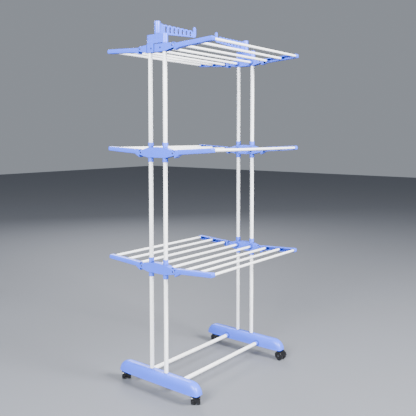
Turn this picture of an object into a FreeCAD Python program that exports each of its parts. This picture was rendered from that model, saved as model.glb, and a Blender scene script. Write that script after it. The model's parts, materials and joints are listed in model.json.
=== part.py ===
import FreeCAD, Part
import Sketcher
import math
import os
from types import SimpleNamespace

# Three-tier clothes drying rack on swivel casters.
#
# +X runs along the rails, +Y to the back, +Z up.  The origin is on the floor, under the
# middle of the rack.  Two end frames stand at -X (left) and +X (right).  Each is a foot
# with two uprights in three lengths, joined end to end inside three hubs.  A wing hangs on
# each side of every tier and folds up on two hinge pins.  A cap closes the top of each end
# frame and carries a swivelling arm for clothes hangers.

DRIVING_SIZES = (
    # alias, millimetres or degrees, meaning
    ("frame_gap", 689, "distance between the middles of the two end frames"),
    ("upright_gap", 90, "distance between the two uprights of an end frame"),
    ("upright_radius", 9.5, "outside radius of uprights and base bars"),
    ("tube_wall", 1, "wall of uprights and base bars"),
    ("tube_fit", 0.1, "radial clearance of a tube in its socket"),
    ("lower_tier", 582.5, "height of the lower tier's hinge pins"),
    ("middle_tier", 1113.5, "height of the middle tier's hinge pins"),
    ("upper_tier", 1587, "height of the upper tier's hinge pins"),
    ("foot_length", 490, "length of a foot"),
    ("foot_width", 60, "width of a foot"),
    ("foot_base", 52, "height of a foot's lower edge"),
    ("foot_rise", 52, "height of a foot itself"),
    ("foot_wall", 2.5, "side wall of a foot"),
    ("foot_end_round", 38, "radius of a foot's ends, seen from the side"),
    ("foot_edge_round", 21, "radius of a foot's long top edges"),
    ("base_bar_reach", 99, "distance of each base bar from the middle"),
    ("base_bar_height", 65.5, "height of the base bars"),
    ("collar_wall", 2.4, "wall of the sockets round the tubes"),
    ("collar_stand", 15, "how far a base bar's collar stands out of the foot"),
    ("foot_socket", 40, "depth of an upright's socket in the foot"),
    ("bar_socket", 49, "depth of a base bar's socket in the foot"),
    ("hinge_reach", 99, "distance of each hinge pin from the middle"),
    ("hub_width", 25, "thickness of a hub along the rails"),
    ("hub_plate", 3, "thickness of a hub's two cheek plates"),
    ("hub_crown", 26.5, "height of a hub's back above its pins, at its middle"),
    ("hub_rise", 22.5, "height of a hub's back above its pins, beside the sleeves"),
    ("hub_drop", 21.5, "depth of a hub's belly below its pins"),
    ("hub_end", 10.5, "radius of a hub's ends round the pins"),
    ("hub_corner", 9.7, "depth of a hub's lower end corners below its pins"),
    ("hub_edge", 1.2, "rounding of a hub's edges"),
    ("tongue_radius", 14, "radius of an arm's tongue round its pin"),
    ("sleeve_up", 46.5, "top of a hub's sleeves above the pins"),
    ("sleeve_down", 41, "bottom of a hub's sleeves below the pins"),
    ("joint_web", 3, "web in a hub between two uprights' ends"),
    ("rail_lift", 3.5, "height of the lower tiers' rails above the pins"),
    ("upper_rail_lift", -4, "height of the upper tier's rails above the pins"),
    ("rail_radius", 6, "outside radius of the drying rails"),
    ("rail_wall", 0.8, "wall of the drying rails"),
    ("rail_fit", 0.1, "radial clearance of a rail in its socket"),
    ("rail_boss_wall", 3, "wall of the bosses round the rails"),
    ("rail_boss", 14, "length of a centre rail's boss on the hub"),
    ("rail_socket", 18, "depth of a rail's socket in an arm"),
    ("end_gap", 0.5, "gap between a tube's end and its socket's floor"),
    ("first_rail", 38.6, "distance of a wing's first rail from the pins"),
    ("rail_pitch", 87.5, "distance between a wing's rails"),
    ("wing_tilt", 3.3, "rise of an opened wing, in degrees"),
    ("arm_inset", 0.5, "how much an arm is narrower than a hub, on each side"),
    ("arm_skin", 3, "thickness of an arm's outer face"),
    ("arm_root", 10.9, "half the height of an arm at its root"),
    ("arm_tip", 9.8, "half the height of an arm at its tip"),
    ("heel_drop", 21.5, "depth of an arm's heel below the pins"),
    ("heel_length", 28, "length of an arm's heel"),
    ("heel_flat", 3, "length of the flat under an arm's heel"),
    ("heel_gap", 0.2, "gap between an arm's heel and the hub"),
    ("fold_gap", 0.4, "gap between a folded arm and the hub's back"),
    ("side_gap", 0.4, "gap on each side of an arm's tongue"),
    ("pin_radius", 3, "radius of the hinge pins"),
    ("pin_fit", 0.06, "radial clearance of a hinge pin in an arm"),
    ("pin_head", 4.4, "radius of a hinge pin's heads"),
    ("head_height", 0.8, "height of the heads of pins and screws"),
    ("upper_hub_rise", 14.5, "height of the upper hub's back above its pins"),
    ("cap_width", 28, "thickness of a cap along the rails"),
    ("cap_rise", 57.5, "height of a cap's top above the upper pins"),
    ("cap_gap", 3, "gap between a cap's block and the upper hub"),
    ("cap_roof", 3, "thickness of a cap over the uprights"),
    ("leg_start", 11, "where a cap's leg starts, from the middle"),
    ("leg_gap", 2.5, "gap between a cap's leg and the upper hub"),
    ("leg_skin", 2.5, "thickness of a cap's leg on the hub's side"),
    ("screw_reach", 27, "distance of a cap's screws from the middle"),
    ("screw_radius", 2, "radius of the screws"),
    ("screw_head", 3.4, "radius of the cap screws' heads"),
    ("knuckle_radius", 13.5, "radius of a hanger arm's knuckle"),
    ("knuckle_height", 58, "height of a hanger arm's knuckle"),
    ("spigot_radius", 7, "radius of the spigot a hanger arm turns on"),
    ("spigot_height", 44, "height of that spigot"),
    ("turn_fit", 0.08, "radial clearance of parts that turn on each other"),
    ("turn_gap", 0.4, "gap between the faces of parts that turn"),
    ("hanger_reach", 258, "distance of a hanger arm's finger from its knuckle"),
    ("hanger_skin", 7.5, "thickness of a hanger arm"),
    ("hanger_belly", 4.5, "bottom of a hanger arm above the cap, at its first slot"),
    ("hanger_belly_end", 15.5, "bottom of a hanger arm above the cap, at its last slot"),
    ("hanger_corner", 12, "rounding of a hanger arm's corner under its finger"),
    ("hanger_top", 53, "top of a hanger arm's loops above the cap"),
    ("loop_radius", 13, "radius of the loops' round tops"),
    ("slot_start", 54, "distance of the first hanger slot from the knuckle"),
    ("slot_pitch", 28.6, "distance between hanger slots"),
    ("slot_radius", 6, "half the width of a hanger slot"),
    ("slot_floor", 16, "bottom of the first slot above the cap"),
    ("slot_climb", 1.2, "how much higher each slot's bottom is than the last"),
    ("finger_top", 71, "top of a hanger arm's finger above the cap"),
    ("finger_radius", 9, "half the width of the finger"),
    ("caster_reach", 220, "distance of each caster's stem from the middle"),
    ("wheel_radius", 22.5, "radius of a caster wheel"),
    ("wheel_width", 15.5, "width of one caster wheel"),
    ("wheel_gap", 12, "gap between the two wheels of a caster"),
    ("trail", 16, "distance of a caster's axle behind its stem"),
    ("axle_radius", 3, "radius of a caster's axle"),
    ("hood_radius", 25.5, "outside radius of a caster's hood"),
    ("hood_wall", 1.8, "wall of a caster's hood"),
    ("stem_radius", 4, "radius of a caster's stem in the foot"),
    ("spigot_end", 29, "height of the stem's lower end"),
    ("stem_length", 28, "length of a caster's stem in the foot"),
)

SLOT_COUNT = 7
# Cutting tools reach this far past the faces they cut through.
CLEAR = 2
RAILS_PER_WING = 3
BACK, FRONT = 1, -1
LEFT, RIGHT = -1, 1
SIDES = {"left": LEFT, "right": RIGHT}
WINGS = {"front": FRONT, "back": BACK}
# Each caster has swung its own way, as they do when a rack is wheeled about.
CASTER_HEADINGS = {
    ("left", "front"): 39,
    ("left", "back"): 45,
    ("right", "front"): -95,
    ("right", "back"): -75,
}


class Size:
    """A length that carries its number and the sheet formula that it comes from."""

    def __init__(self, number, text):
        self.number = number
        self.text = text

    @staticmethod
    def of(value):
        return value if isinstance(value, Size) else Size(value, "(%r)" % value)

    def __add__(self, other):
        other = Size.of(other)
        return Size(self.number + other.number, "(%s + %s)" % (self.text, other.text))

    def __sub__(self, other):
        other = Size.of(other)
        return Size(self.number - other.number, "(%s - %s)" % (self.text, other.text))

    def __mul__(self, other):
        other = Size.of(other)
        return Size(self.number * other.number, "(%s * %s)" % (self.text, other.text))

    def __truediv__(self, other):
        other = Size.of(other)
        return Size(self.number / other.number, "(%s / %s)" % (self.text, other.text))

    def __neg__(self):
        return Size(-self.number, "(0 - %s)" % self.text)

    def __radd__(self, other):
        return Size.of(other) + self

    def __rsub__(self, other):
        return Size.of(other) - self

    def __rmul__(self, other):
        return Size.of(other) * self


def sine(angle):
    return Size(math.sin(math.radians(angle.number)), "sin(%s * 1deg)" % angle.text)


def cosine(angle):
    return Size(math.cos(math.radians(angle.number)), "cos(%s * 1deg)" % angle.text)


document = FreeCAD.newDocument("DryingRack")
sheet = document.addObject("Spreadsheet::Sheet", "Sizes")
finished = []


def fill_sheet():
    """Write the driving sizes into the sheet and return them as named sizes."""
    sizes = {}
    for row, (alias, number, meaning) in enumerate(DRIVING_SIZES, start=1):
        sheet.set("A%d" % row, meaning)
        sheet.set("B%d" % row, str(number))
        sheet.setAlias("B%d" % row, alias)
        sizes[alias] = Size(number, "Sizes." + alias)
    document.recompute()
    return SimpleNamespace(**sizes)


s = fill_sheet()


# ---------------------------------------------------------------- helpers

def bind(item, **properties):
    """Bind properties of an object to sizes."""
    for name, size in properties.items():
        item.setExpression(name, Size.of(size).text)


def place(item, x=0, y=0, z=0, yaw=0, roll=0):
    """Stand an object at a point, rolled about X and then turned about Z."""
    spot = "; ".join(Size.of(value).text for value in (x, y, z))
    turn = "; ".join(Size.of(value).text for value in (yaw, 0, roll))
    item.setExpression("Placement", "placement(vector(%s); rotation(%s))" % (spot, turn))


def finish(item, label):
    item.Label = label
    finished.append(item)
    return item


def new_body(label):
    return finish(document.addObject("PartDesign::Body", "Body_" + label), label)


def pin_point(sketch, line, end, x, y):
    """Fix one point of a sketch at x, y from the sketch's origin."""
    for size, kind, axis in ((x, "DistanceX", -2), (y, "DistanceY", -1)):
        size = Size.of(size)
        if size.number == 0:
            sketch.addConstraint(Sketcher.Constraint("PointOnObject", line, end, axis))
        else:
            index = sketch.addConstraint(
                Sketcher.Constraint(kind, -1, 1, line, end, size.number))
            sketch.setExpression("Constraints[%d]" % index, size.text)


def draw_outline(sketch, points):
    """Draw a closed outline of straight lines through points."""
    corners = [FreeCAD.Vector(Size.of(x).number, Size.of(y).number, 0) for x, y in points]
    lines = []
    for start, end in zip(corners, corners[1:] + corners[:1]):
        lines.append(sketch.addGeometry(Part.LineSegment(start, end), False))
    for line, following in zip(lines, lines[1:] + lines[:1]):
        sketch.addConstraint(Sketcher.Constraint("Coincident", line, 2, following, 1))
    for line, (x, y) in zip(lines, points):
        pin_point(sketch, line, 1, x, y)


def draw_circle(sketch, x, y, radius):
    centre = FreeCAD.Vector(Size.of(x).number, Size.of(y).number, 0)
    circle = Part.Circle(centre, FreeCAD.Vector(0, 0, 1), Size.of(radius).number)
    index = sketch.addGeometry(circle, False)
    pin_point(sketch, index, 3, x, y)
    rule = sketch.addConstraint(Sketcher.Constraint("Radius", index, Size.of(radius).number))
    sketch.setExpression("Constraints[%d]" % rule, Size.of(radius).text)


def sketch_on(body, plane, lift=0, outlines=(), circles=()):
    """Sketch outlines and circles on one of the body's own origin planes."""
    sketch = body.newObject("Sketcher::SketchObject", "Sketch")
    face = [item for item in body.Origin.OriginFeatures if item.Role == plane + "_Plane"][0]
    sketch.AttachmentSupport = (face, [""])
    sketch.MapMode = "FlatFace"
    sketch.setExpression("AttachmentOffset.Base.z", Size.of(lift).text)
    for points in outlines:
        draw_outline(sketch, points)
    for x, y, radius in circles:
        draw_circle(sketch, x, y, radius)
    return sketch


def grow(body, sketch, length, centred=False):
    """Add material along the sketch's normal, or evenly on both of its sides."""
    pad = body.newObject("PartDesign::Pad", "Pad")
    pad.Profile = sketch
    pad.Midplane = centred
    bind(pad, Length=length)
    document.recompute()
    return pad


def cut(body, sketch, length, centred=False, along=False):
    """Take material away, against the sketch's normal unless along is set."""
    before = body.Shape.Volume
    pocket = body.newObject("PartDesign::Pocket", "Pocket")
    pocket.Profile = sketch
    pocket.Midplane = centred
    pocket.Reversed = along
    bind(pocket, Length=length)
    document.recompute()
    if body.Shape.Volume > before - 1e-3:
        raise RuntimeError("a pocket of %s cuts nothing" % body.Label)
    return pocket


def round_edges(body, feature, radius, wanted):
    """Round those edges of a feature that a test picks."""
    names = []
    for number, edge in enumerate(feature.Shape.Edges, start=1):
        if wanted(edge):
            names.append("Edge%d" % number)
    if not names:
        raise RuntimeError("no edge to round on %s" % body.Label)
    fillet = body.newObject("PartDesign::Fillet", "Fillet")
    fillet.Base = (feature, names)
    bind(fillet, Radius=radius)
    document.recompute()
    return fillet


def runs_along(edge, axis):
    """True for a straight edge along an axis, given by its number."""
    if edge.Curve.TypeId != "Part::GeomLine":
        return False
    return abs(abs(edge.Curve.Direction[axis]) - 1) < 1e-6


def lies_on(edge, axis, value):
    """True for an edge that lies in the plane where an axis has a value."""
    low, high = ((edge.BoundBox.XMin, edge.BoundBox.XMax),
                 (edge.BoundBox.YMin, edge.BoundBox.YMax),
                 (edge.BoundBox.ZMin, edge.BoundBox.ZMax))[axis]
    return abs(low - value) < 1e-3 and abs(high - value) < 1e-3


def cylinder(radius, height):
    rod = document.addObject("Part::Cylinder", "Cylinder")
    bind(rod, Radius=radius, Height=height)
    return rod


def along_x(item, x, y, z):
    """Lay an upright cylinder down, so that it runs towards +X from a point."""
    spot = "; ".join(Size.of(value).text for value in (x, y, z))
    item.setExpression(
        "Placement", "placement(vector(%s); rotation(vector(0; 1; 0); 90))" % spot)


def tube(radius, wall, length):
    """A round tube, standing on the origin until it is placed."""
    pipe = document.addObject("Part::Cut", "Tube")
    pipe.Base = cylinder(radius, length)
    pipe.Tool = cylinder(radius - wall, length)
    return pipe


def group(label, members):
    """Several separate solids that share one node."""
    compound = document.addObject("Part::Compound", "Group_" + label)
    compound.Links = members
    return finish(compound, label)


def mirrored(points):
    """An outline that is given for +x only, closed with its mirror image."""
    return points + [(-x, y) for x, y in reversed(points)]


# ---------------------------------------------------------------- shared sizes

half_gap = s.frame_gap / 2
upright_reach = s.upright_gap / 2
bore_radius = s.upright_radius + s.tube_fit
sleeve_radius = bore_radius + s.collar_wall
shoulder = upright_reach + sleeve_radius
foot_top = s.foot_base + s.foot_rise
cap_top = s.upper_tier + s.cap_rise
rail_bore = s.rail_radius + s.rail_fit
rail_boss_radius = rail_bore + s.rail_boss_wall
# A centre rail's socket stops at the sleeve round the upright.
centre_rail_floor = sleeve_radius + s.end_gap
TIERS = {"lower": s.lower_tier, "middle": s.middle_tier, "upper": s.upper_tier}
arm_width = s.hub_width - s.arm_inset * 2
RAIL_LIFTS = {"lower": s.rail_lift, "middle": s.rail_lift, "upper": s.upper_rail_lift}


# ---------------------------------------------------------------- feet and base

def make_foot(side):
    """A downward-open moulded shell on two casters; local +X is the inner side."""
    body = new_body("foot_" + side)
    half_length = s.foot_length / 2
    half_width = s.foot_width / 2
    flank = [(half_length, s.foot_base), (half_length, foot_top)]
    block = grow(body, sketch_on(body, "YZ", outlines=[mirrored(flank)]), s.foot_width, True)
    ends = round_edges(
        body, block, s.foot_end_round,
        lambda edge: runs_along(edge, 0) and lies_on(edge, 2, foot_top.number))
    round_edges(
        body, ends, s.foot_edge_round,
        lambda edge: (lies_on(edge, 0, half_width.number)
                      or lies_on(edge, 0, -half_width.number))
        and not lies_on(edge, 2, s.foot_base.number))

    # The inside narrows under the rounded top edges and stays low at the ends.
    low_roof = s.foot_rise - s.foot_edge_round - 1
    inner_half = half_width - s.foot_wall
    shoulder_share = 0.7
    narrow_half = half_width - s.foot_edge_round * shoulder_share
    straight = half_length - s.foot_end_round - s.foot_edge_round * shoulder_share
    end_roof = s.foot_rise * 0.55
    for reach, half, height in ((straight, inner_half, low_roof),
                                (straight, narrow_half, s.foot_rise - s.collar_wall),
                                (half_length - s.foot_edge_round, narrow_half,
                                 end_roof)):
        rectangle = mirrored([(half, -reach), (half, reach)])
        cut(body, sketch_on(body, "XY", s.foot_base, outlines=[rectangle]), height,
            along=True)

    # The sockets end a little above the lip and below the dome's outside.
    inset = 2
    sockets = [(0, reach, sleeve_radius) for reach in (upright_reach, -upright_reach)]
    grow(body, sketch_on(body, "XY", s.foot_base + inset, circles=sockets),
         s.foot_rise - inset * 2)
    stem_boss_radius = s.stem_radius * 2.2
    stem_boss_height = s.foot_rise * 0.6
    stem_bosses = [(0, reach, stem_boss_radius) for reach in (s.caster_reach, -s.caster_reach)]
    grow(body, sketch_on(body, "XY", s.foot_base, circles=stem_bosses), stem_boss_height)
    bar_bosses = [(reach, s.base_bar_height, sleeve_radius)
                  for reach in (s.base_bar_reach, -s.base_bar_reach)]
    boss_back = half_width - s.bar_socket - s.collar_wall
    grow(body, sketch_on(body, "YZ", boss_back, circles=bar_bosses),
         s.bar_socket + s.collar_wall + s.collar_stand)
    rib = s.collar_wall / 2
    rib_outline = mirrored([(rib, -s.caster_reach), (rib, s.caster_reach)])
    rib_height = s.foot_rise * 0.4
    grow(body, sketch_on(body, "XY", s.foot_base + s.foot_rise / 3, outlines=[rib_outline]),
         rib_height)

    holes = [(0, reach, bore_radius) for reach in (upright_reach, -upright_reach)]
    cut(body, sketch_on(body, "XY", foot_top, circles=holes), s.foot_socket)
    stems = [(0, reach, s.stem_radius) for reach in (s.caster_reach, -s.caster_reach)]
    cut(body, sketch_on(body, "XY", s.foot_base, circles=stems), s.stem_length, along=True)
    bars = [(reach, s.base_bar_height, bore_radius)
            for reach in (s.base_bar_reach, -s.base_bar_reach)]
    cut(body, sketch_on(body, "YZ", half_width + s.collar_stand, circles=bars),
        s.bar_socket + s.collar_stand)
    place(body, half_gap * SIDES[side], yaw=0 if side == "left" else 180)


def make_base_bar(wing):
    end = half_gap - s.foot_width / 2 + s.bar_socket - s.end_gap
    bar = finish(tube(s.upright_radius, s.tube_wall, end * 2), "base_bar_" + wing)
    along_x(bar, -end, s.base_bar_reach * WINGS[wing], s.base_bar_height)


def make_uprights(side, name, bottom, top):
    """The front and back tube of one length of an end frame."""
    pair = []
    for direction in (FRONT, BACK):
        pipe = tube(s.upright_radius, s.tube_wall, top - bottom)
        place(pipe, half_gap * SIDES[side], upright_reach * direction, bottom)
        pair.append(pipe)
    group("uprights_%s_%s" % (name, side), pair)


# ---------------------------------------------------------------- hubs

def make_hub(side, tier):
    """A two-cheek moulding that joins the uprights and carries the arms' pins."""
    upper = tier == "upper"
    rise = s.upper_hub_rise if upper else s.hub_rise
    crown = s.upper_hub_rise if upper else s.hub_crown
    lift = RAIL_LIFTS[tier]
    body = new_body("hub_%s_%s" % (tier, side))
    half = s.hub_width / 2
    end = s.hinge_reach + s.hub_end
    back = [(shoulder, rise)] if upper else [(shoulder, rise), (s.hub_width / 2, crown)]
    outline = mirrored([(shoulder, -s.hub_drop), (end, -s.hub_corner), (end, 0),
                        (s.hinge_reach, s.hub_end)] + back)
    grow(body, sketch_on(body, "YZ", outlines=[outline]), s.hub_width, True)
    ends = [(reach, 0, s.hub_end) for reach in (s.hinge_reach, -s.hinge_reach)]
    plate = grow(body, sketch_on(body, "YZ", circles=ends), s.hub_width, True)
    round_edges(body, plate, s.hub_edge, lambda edge: lies_on(edge, 0, half.number)
                or lies_on(edge, 0, -half.number))

    # Hollows between the cheeks, open below, and slots for the arms' tongues.
    inner = half - s.hub_plate
    slot_start = s.hinge_reach - s.tongue_radius - 1
    middle = upright_reach - sleeve_radius
    hollow = mirrored([(inner, -middle), (inner, middle)])
    cut(body, sketch_on(body, "XY", -s.hub_drop, outlines=[hollow]),
        s.hub_drop + rise - s.hub_plate, along=True)
    for direction in (FRONT, BACK):
        pocket = mirrored([(inner, (shoulder + s.hub_plate) * direction),
                           (inner, (slot_start - s.hub_plate) * direction)])
        cut(body, sketch_on(body, "XY", -s.hub_drop, outlines=[pocket]),
            s.hub_drop + s.hub_end, along=True)
        slot = mirrored([(inner, slot_start * direction), (inner, (end + 1) * direction)])
        cut(body, sketch_on(body, "XY", outlines=[slot]), s.hub_rise * 4, True)

    top = rise if upper else s.sleeve_up
    bottom = s.hub_drop if upper else s.sleeve_down
    sleeves = [(0, reach, sleeve_radius) for reach in (upright_reach, -upright_reach)]
    grow(body, sketch_on(body, "XY", -bottom, circles=sleeves), bottom + top)
    bosses = [(reach, lift, rail_boss_radius) for reach in (upright_reach, -upright_reach)]
    grow(body, sketch_on(body, "YZ", circles=bosses), half + s.rail_boss)

    holes = [(0, reach, bore_radius) for reach in (upright_reach, -upright_reach)]
    if upper:
        cut(body, sketch_on(body, "XY", rise, circles=holes), rise + bottom)
    else:
        cut(body, sketch_on(body, "XY", top, circles=holes), top - s.joint_web / 2)
        cut(body, sketch_on(body, "XY", -s.joint_web / 2, circles=holes), bottom)
    rails = [(reach, lift, rail_bore) for reach in (upright_reach, -upright_reach)]
    cut(body, sketch_on(body, "YZ", half + s.rail_boss, circles=rails),
        half + s.rail_boss - sleeve_radius)
    pins = [(reach, 0, s.pin_radius) for reach in (s.hinge_reach, -s.hinge_reach)]
    cut(body, sketch_on(body, "YZ", circles=pins), s.hub_width + CLEAR, True)

    if upper:
        # The cap's leg lies in this recess of the outer cheek.
        near = s.leg_start - s.leg_gap
        far = upright_reach + leg_half + s.fold_gap
        depth = -(s.cap_width / 2 - s.leg_skin - leg_bulge - s.fold_gap * 2)
        recess = [(-half - 1, near), (depth, near), (depth, far), (-half - 1, far)]
        cut(body, sketch_on(body, "XY", rise + 1, outlines=[recess]), rise + bottom + 2)
        screw = [(-s.screw_reach, cap_screw_height, s.screw_radius)]
        cut(body, sketch_on(body, "YZ", -half, circles=screw), s.hub_plate + 1, along=True)
    place(body, half_gap * SIDES[side], 0, TIERS[tier], yaw=0 if side == "left" else 180)


def make_centre_rails(tier):
    """Two fixed rails between the hubs."""
    end = half_gap - centre_rail_floor
    pair = []
    for direction in (FRONT, BACK):
        rail = tube(s.rail_radius, s.rail_wall, end * 2)
        along_x(rail, -end, upright_reach * direction, TIERS[tier] + RAIL_LIFTS[tier])
        pair.append(rail)
    group("centre_rails_" + tier, pair)


def make_hinge_pins():
    """Twelve headed pins, pressed into the hubs' cheeks."""
    pins = []
    half = s.hub_width / 2
    for tier in TIERS:
        for side in SIDES:
            for wing in WINGS:
                x = half_gap * SIDES[side]
                y = s.hinge_reach * WINGS[wing]
                shank = cylinder(s.pin_radius, s.hub_width)
                along_x(shank, x - half, y, TIERS[tier])
                heads = []
                for start in (x - half - s.head_height, x + half):
                    head = cylinder(s.pin_head, s.head_height)
                    along_x(head, start, y, TIERS[tier])
                    heads.append(head)
                pin = document.addObject("Part::MultiFuse", "Pin")
                pin.Shapes = [shank] + heads
                pins.append(pin)
    group("hinge_pins", pins)


# ---------------------------------------------------------------- wings

def make_arm(side, tier, wing):
    """One arm of a wing: local +Y points out along it from the hinge pin."""
    body = new_body("arm_%s_%s_%s" % (tier, wing, side))
    turned = wing == "front"
    # A front wing is turned half round, which swaps its left and right ends.
    local_side = -SIDES[side] if turned else SIDES[side]
    inner = -local_side
    tip = s.first_rail + s.rail_pitch * (RAILS_PER_WING - 1)
    reach = s.hub_end + s.heel_gap
    sin_tilt, cos_tilt = sine(s.wing_tilt), cosine(s.wing_tilt)
    # The lower root face is parallel to the hub's upright end while the wing is open.
    face_top = (reach * cos_tilt, -reach * sin_tilt)
    heel = (reach * cos_tilt - s.heel_drop * sin_tilt,
            -reach * sin_tilt - s.heel_drop * cos_tilt)
    # The upper root face leans out, so that the folded arm lies along the hub's back.
    lean = (s.hub_rise - s.hub_end) / (s.hinge_reach - shoulder)
    lift = RAIL_LIFTS[tier]
    root_height = lift + s.arm_root
    root_top = (s.hub_end + s.fold_gap * 2 + root_height * lean, root_height)
    nose = tip + s.arm_tip * 0.8
    nose_half = s.arm_tip * 0.6
    outline = [face_top, heel, (reach + s.heel_flat, -s.heel_drop),
               (reach + s.heel_length, lift - s.arm_root),
               (tip, lift - s.arm_tip), (nose, lift - nose_half),
               (nose, lift + nose_half), (tip, lift + s.arm_tip), root_top]
    blade = grow(body, sketch_on(body, "YZ", outlines=[outline]), arm_width, True)
    round_edges(body, blade, 3, lambda edge: runs_along(edge, 0)
                and edge.CenterOfMass.y > tip.number - 1)
    outer_face = -inner * arm_width.number / 2
    round_edges(body, body.Tip, 2.5, lambda edge: lies_on(edge, 0, outer_face)
                and edge.CenterOfMass.y > reach.number + s.heel_length.number)

    # The inner side is an open channel with a ring round each rail.
    wall = s.arm_skin * 0.9
    solid_heel = s.heel_length * 0.35
    start = s.tongue_radius + solid_heel
    channel = [(start, lift - s.arm_root + wall), (tip, lift - s.arm_tip + wall),
               (tip, lift + s.arm_tip - wall), (start, lift + s.arm_root - wall)]
    inner_plane = arm_width / 2 * inner
    cut(body, sketch_on(body, "YZ", inner_plane, outlines=[channel]),
        arm_width - s.arm_skin, along=inner < 0)
    rails = [s.first_rail + s.rail_pitch * number for number in range(RAILS_PER_WING)]
    rings = [(rail, lift, rail_boss_radius) for rail in rails]
    pad = grow(body, sketch_on(body, "YZ", inner_plane, circles=rings),
               arm_width - s.arm_skin / 2)
    pad.Reversed = inner > 0
    document.recompute()

    # The tongue between the hub's cheeks.
    tongue_width = s.hub_width - (s.hub_plate + s.side_gap) * 2
    tongue = [(0, -s.hub_end), (start + 1, lift - s.arm_root + wall / 2),
              (start + 1, lift + s.arm_root - wall / 2), (0, s.hub_end)]
    grow(body, sketch_on(body, "YZ", outlines=[tongue]), tongue_width, True)
    grow(body, sketch_on(body, "YZ", circles=[(0, 0, s.tongue_radius)]), tongue_width, True)

    # The rails' sockets and the bore for the hinge pin.
    bores = [(rail, lift, rail_bore) for rail in rails]
    cut(body, sketch_on(body, "YZ", inner_plane, circles=bores), s.rail_socket,
        along=inner < 0)
    bore = [(0, 0, s.pin_radius + s.pin_fit)]
    cut(body, sketch_on(body, "YZ", circles=bore), arm_width, True)

    # Place the arm from the middle of its wing's hinge axis.
    place(body, half_gap * SIDES[side], s.hinge_reach * WINGS[wing], TIERS[tier],
          yaw=180 if turned else 0, roll=s.wing_tilt)


def make_wing_rails(tier, wing):
    """The three rails of a wing, between its two arms."""
    end = half_gap - arm_width / 2 + s.rail_socket - s.end_gap
    rails = []
    for number in range(RAILS_PER_WING):
        reach = s.first_rail + s.rail_pitch * number
        rail = tube(s.rail_radius, s.rail_wall, end * 2)
        along_x(rail, -end, reach, RAIL_LIFTS[tier])
        rails.append(rail)
    wing_group = group("rails_%s_%s" % (tier, wing), rails)
    place(wing_group, 0, s.hinge_reach * WINGS[wing], TIERS[tier],
          yaw=180 if wing == "front" else 0, roll=s.wing_tilt)


# ---------------------------------------------------------------- caps and hanger arms

# A cap is proud of the hub's cheek by this much, and its leg's round end this wide.
leg_bulge = (s.cap_width - s.hub_width) / 2
leg_half = s.cap_width / 2 - s.leg_skin
cap_screw_height = Size.of(-4)


def make_cap(side):
    """The block on top of an end frame; its leg reaches down the outer cheek of the hub."""
    body = new_body("cap_" + side)
    half = s.cap_width / 2
    floor = s.upper_hub_rise + s.cap_gap
    block = [(upright_reach, floor), (upright_reach, s.cap_rise),
             (-upright_reach, s.cap_rise), (-upright_reach, floor)]
    grow(body, sketch_on(body, "YZ", outlines=[block]), s.cap_width, True)
    ends = [(0, reach, half) for reach in (upright_reach, -upright_reach)]
    seat = s.upper_hub_rise + s.fold_gap
    posts = grow(body, sketch_on(body, "XY", seat, circles=ends), s.cap_rise - seat)
    round_edges(body, posts, 1.5, lambda edge: lies_on(edge, 2, s.cap_rise.number))

    # The leg: a flat tongue with one round edge, cut from the same round end.
    inner_face = -(half - s.leg_skin - leg_bulge)
    flat = [(-half, s.leg_start), (inner_face, s.leg_start),
            (inner_face, upright_reach), (-half, upright_reach)]
    grow(body, sketch_on(body, "XY", -s.hub_drop, outlines=[flat]), s.hub_drop + floor + 1)
    corner_depth = s.leg_skin * 0.6
    corner_width = leg_half * 0.45
    round_end = [(-half, upright_reach), (inner_face, upright_reach),
                 (inner_face, upright_reach + leg_half),
                 (inner_face - corner_depth, upright_reach + leg_half),
                 (-half, upright_reach + corner_width)]
    grow(body, sketch_on(body, "XY", -s.hub_drop, outlines=[round_end]),
         s.hub_drop + floor + 1)

    spigot = [(0, 0, s.spigot_radius)]
    grow(body, sketch_on(body, "XY", s.cap_rise - 1, circles=spigot), s.spigot_height + 1)
    holes = [(0, reach, bore_radius) for reach in (upright_reach, -upright_reach)]
    cut(body, sketch_on(body, "XY", -s.hub_drop - 1, circles=holes),
        s.hub_drop + s.cap_rise - s.cap_roof + 1, along=True)
    bolt = [(0, 0, s.screw_radius)]
    bolt_depth = s.spigot_height * 0.6
    cut(body, sketch_on(body, "XY", s.cap_rise + s.spigot_height, circles=bolt), bolt_depth)
    screw = [(s.screw_reach, cap_screw_height, s.screw_radius)]
    cut(body, sketch_on(body, "YZ", -half, circles=screw), s.leg_skin + leg_bulge + 1,
        along=True)
    place(body, half_gap * SIDES[side], 0, s.upper_tier, yaw=0 if side == "left" else 180)


def make_cap_screws():
    """Two screws on each cap: one in its leg, one in the hub's cheek beside it."""
    screws = []
    for side in SIDES.values():
        for reach, face in ((s.screw_reach, s.cap_width / 2), (-s.screw_reach, s.hub_width / 2)):
            # On the right the cap is turned half round, so its back is the front.
            y = reach * -side
            z = s.upper_tier + cap_screw_height
            x = half_gap * side
            depth = s.leg_skin + leg_bulge
            shank = cylinder(s.screw_radius, depth)
            head = cylinder(s.screw_head, s.head_height)
            if side == LEFT:
                along_x(shank, x - face, y, z)
                along_x(head, x - face - s.head_height, y, z)
            else:
                along_x(shank, x + face - depth, y, z)
                along_x(head, x + face, y, z)
            screw = document.addObject("Part::MultiFuse", "Screw")
            screw.Shapes = [shank, head]
            screws.append(screw)
    group("cap_screws", screws)


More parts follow.
